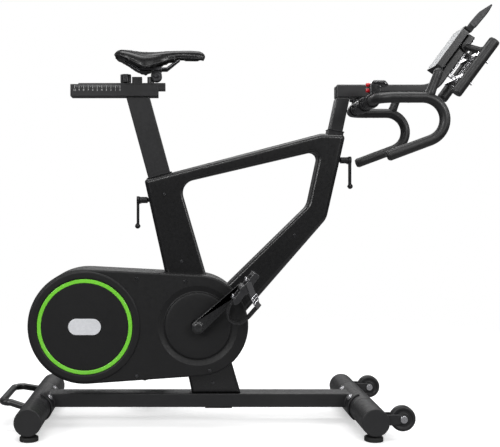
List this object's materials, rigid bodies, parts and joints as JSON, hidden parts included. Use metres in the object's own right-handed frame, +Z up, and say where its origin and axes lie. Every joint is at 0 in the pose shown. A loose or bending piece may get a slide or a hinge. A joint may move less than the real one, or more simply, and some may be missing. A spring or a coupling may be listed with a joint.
{
  "type": "exercise bike",
  "caption": "Indoor exercise bike: twin cross tube base, slanted frame, enclosed belt drive with a green ring, sliding saddle, drop handlebar, console and front rack.",
  "frame": {"origin": "centre of the bounding box at floor level, under the levelling feet", "axes": "+X forward, towards the handlebar; +Y to the rider's left; +Z up"},
  "size_m": [1.458, 0.52, 1.2389],
  "materials": {
    "base_paint": "satin powder coat",
    "base_plastic": "satin moulded plastic",
    "frame_paint": "satin black paint",
    "post_paint": "satin dark paint",
    "crank_paint": "semi-gloss black",
    "housing_plastic": "finely textured plastic",
    "cover_plastic": "smooth matte plastic",
    "green_trim": "bright green plastic",
    "badge_plate": "pale grey plate",
    "black_plastic": "matte moulded plastic",
    "lever_plastic": "matte moulded plastic",
    "console_plastic": "semi-gloss plastic",
    "console_glass": "glossy display window",
    "red_button": "red plastic",
    "bar_coating": "soft-touch coating",
    "saddle_cover": "glossy synthetic leather",
    "cage_plastic": "moulded plastic",
    "pedal_metal": "painted alloy",
    "foot_rubber": "rubber",
    "wheel_rubber": "hard rubber",
    "belt_rubber": "ribbed rubber",
    "bright_steel": "zinc plated",
    "dark_steel": "blackened steel",
    "chrome_wire": "polished chrome",
    "cast_metal": "machined and painted",
    "alloy": "machined"
  },
  "bodies": {
    "frame": {"base_beam": "base_paint", "rear_cross_tube": "base_paint", "front_cross_tube": "base_paint", "cross_tube_sleeves": "base_plastic", "base_fasteners": "bright_steel", "rear_handle": "frame_paint", "main_frame": "frame_paint", "post_bushes": "black_plastic", "right_housing": "housing_plastic", "left_housing": "housing_plastic", "green_ring": "green_trim", "flywheel_cover": "cover_plastic", "badge": "badge_plate", "crank_covers": "housing_plastic", "cover_screws": "dark_steel", "bearings": "bright_steel", "drive_belt": "belt_rubber", "brake_unit": "black_plastic", "idler_arm": "bright_steel"},
    "foot_rear_right": {"foot_rear_right": "foot_rubber"},
    "foot_rear_left": {"foot_rear_left": "foot_rubber"},
    "foot_front_right": {"foot_front_right": "foot_rubber"},
    "foot_front_left": {"foot_front_left": "foot_rubber"},
    "wheel_right": {"right_transport_wheel": "wheel_rubber"},
    "wheel_left": {"left_transport_wheel": "wheel_rubber"},
    "flywheel": {"flywheel": "cast_metal", "flywheel_pulley": "alloy", "flywheel_axle": "bright_steel"},
    "crankset": {"crank_axle": "bright_steel", "drive_pulley": "black_plastic", "right_crank": "crank_paint", "left_crank": "crank_paint"},
    "idler": {"idler_wheel": "black_plastic"},
    "pedal_right": {"right_pedal": "pedal_metal", "right_toe_cage": "cage_plastic"},
    "pedal_left": {"left_pedal": "pedal_metal", "left_toe_cage": "cage_plastic"},
    "magnet_carrier": {"magnet_carrier": "dark_steel"},
    "seat_post": {"seat_post": "post_paint"},
    "seat_slider": {"seat_slider": "post_paint"},
    "seat_knob": {"seat_knob": "black_plastic"},
    "saddle": {"saddle_clamp": "dark_steel", "saddle_rails": "bright_steel", "saddle": "saddle_cover"},
    "seat_lever": {"seat_clamp_lever": "lever_plastic"},
    "bar_lever": {"bar_clamp_lever": "lever_plastic"},
    "handlebar": {"bar_post": "post_paint", "stem": "post_paint", "bar_clamp": "post_paint", "handlebar": "bar_coating", "shifter_pods": "black_plastic", "console_case": "console_plastic", "console_screen": "console_glass", "tablet_holder": "console_plastic", "rack_frame": "bar_coating", "rack_wires": "chrome_wire"},
    "shift_right_up": {"right_shift_up": "red_button"},
    "shift_right_down": {"right_shift_down": "red_button"},
    "shift_left_up": {"left_shift_up": "black_plastic"},
    "shift_left_down": {"left_shift_down": "black_plastic"}
  },
  "joints": [
    {"name": "foot_rear_right_height", "type": "slide", "parent": "frame", "child": "foot_rear_right", "axis": [0, 0, -1], "range_m": [0, 0.012]},
    {"name": "foot_rear_left_height", "type": "slide", "parent": "frame", "child": "foot_rear_left", "axis": [0, 0, -1], "range_m": [0, 0.012]},
    {"name": "foot_front_right_height", "type": "slide", "parent": "frame", "child": "foot_front_right", "axis": [0, 0, -1], "range_m": [0, 0.012]},
    {"name": "foot_front_left_height", "type": "slide", "parent": "frame", "child": "foot_front_left", "axis": [0, 0, -1], "range_m": [0, 0.012]},
    {"name": "wheel_right_spin", "type": "hinge", "parent": "frame", "child": "wheel_right", "pos_m": [0.407, -0.22, 0.0595], "axis": [0, 1, 0], "continuous": true},
    {"name": "wheel_left_spin", "type": "hinge", "parent": "frame", "child": "wheel_left", "pos_m": [0.407, 0.22, 0.0595], "axis": [0, 1, 0], "continuous": true},
    {"name": "flywheel_spin", "type": "hinge", "parent": "frame", "child": "flywheel", "pos_m": [-0.482, 0, 0.293], "axis": [0, 1, 0], "continuous": true},
    {"name": "crank_spin", "type": "hinge", "parent": "frame", "child": "crankset", "pos_m": [-0.153, 0, 0.296], "axis": [0, 1, 0], "continuous": true},
    {"name": "idler_spin", "type": "hinge", "parent": "frame", "child": "idler", "pos_m": [-0.251, -0.057, 0.202], "axis": [0, 1, 0], "continuous": true},
    {"name": "pedal_right_spin", "type": "hinge", "parent": "crankset", "child": "pedal_right", "pos_m": [-0.02667, -0.16, 0.40975], "axis": [0, 1, 0], "continuous": true},
    {"name": "pedal_left_spin", "type": "hinge", "parent": "crankset", "child": "pedal_left", "pos_m": [-0.27933, 0.16, 0.18225], "axis": [0, 1, 0], "continuous": true},
    {"name": "brake_swing", "type": "hinge", "parent": "frame", "child": "magnet_carrier", "pos_m": [-0.361, 0, 0.208], "axis": [0, 1, 0], "range_deg": [0, 8]},
    {"name": "seat_height", "type": "slide", "parent": "frame", "child": "seat_post", "axis": [-0.2639, 0, 0.9646], "range_m": [-0.14, 0.06]},
    {"name": "saddle_fore_aft", "type": "slide", "parent": "seat_post", "child": "seat_slider", "axis": [1, 0, 0], "range_m": [-0.13, 0]},
    {"name": "seat_knob_turn", "type": "hinge", "parent": "seat_slider", "child": "seat_knob", "pos_m": [-0.367, 0, 1.026], "axis": [0, 0, 1], "range_deg": [-180, 180]},
    {"name": "saddle_tilt", "type": "hinge", "parent": "seat_slider", "child": "saddle", "pos_m": [-0.275, 0, 1.033], "axis": [0, 1, 0], "range_deg": [-8, 8]},
    {"name": "seat_lever_turn", "type": "hinge", "parent": "frame", "child": "seat_lever", "pos_m": [-0.29339, 0, 0.662], "axis": [1, 0, 0], "range_deg": [0, 270]},
    {"name": "handlebar_height", "type": "slide", "parent": "frame", "child": "handlebar", "axis": [0.2079, 0, 0.9781], "range_m": [-0.06, 0.06]},
    {"name": "bar_lever_turn", "type": "hinge", "parent": "frame", "child": "bar_lever", "pos_m": [0.27175, 0, 0.781], "axis": [1, 0, 0], "range_deg": [0, 270]},
    {"name": "shift_right_up_press", "type": "slide", "parent": "handlebar", "child": "shift_right_up", "axis": [1, 0, 0], "range_m": [0, 0.002], "stiffness_N_per_m": 400, "springref_m": -0.001},
    {"name": "shift_right_down_press", "type": "slide", "parent": "handlebar", "child": "shift_right_down", "axis": [1, 0, 0], "range_m": [0, 0.002], "stiffness_N_per_m": 400, "springref_m": -0.001},
    {"name": "shift_left_up_press", "type": "slide", "parent": "handlebar", "child": "shift_left_up", "axis": [1, 0, 0], "range_m": [0, 0.002], "stiffness_N_per_m": 400, "springref_m": -0.001},
    {"name": "shift_left_down_press", "type": "slide", "parent": "handlebar", "child": "shift_left_down", "axis": [1, 0, 0], "range_m": [0, 0.002], "stiffness_N_per_m": 400, "springref_m": -0.001}
  ],
  "couplings": [
    {"joint": "crank_spin", "follows": "flywheel_spin", "ratio": 0.26203},
    {"joint": "idler_spin", "follows": "flywheel_spin", "ratio": -1.5312}
  ]
}
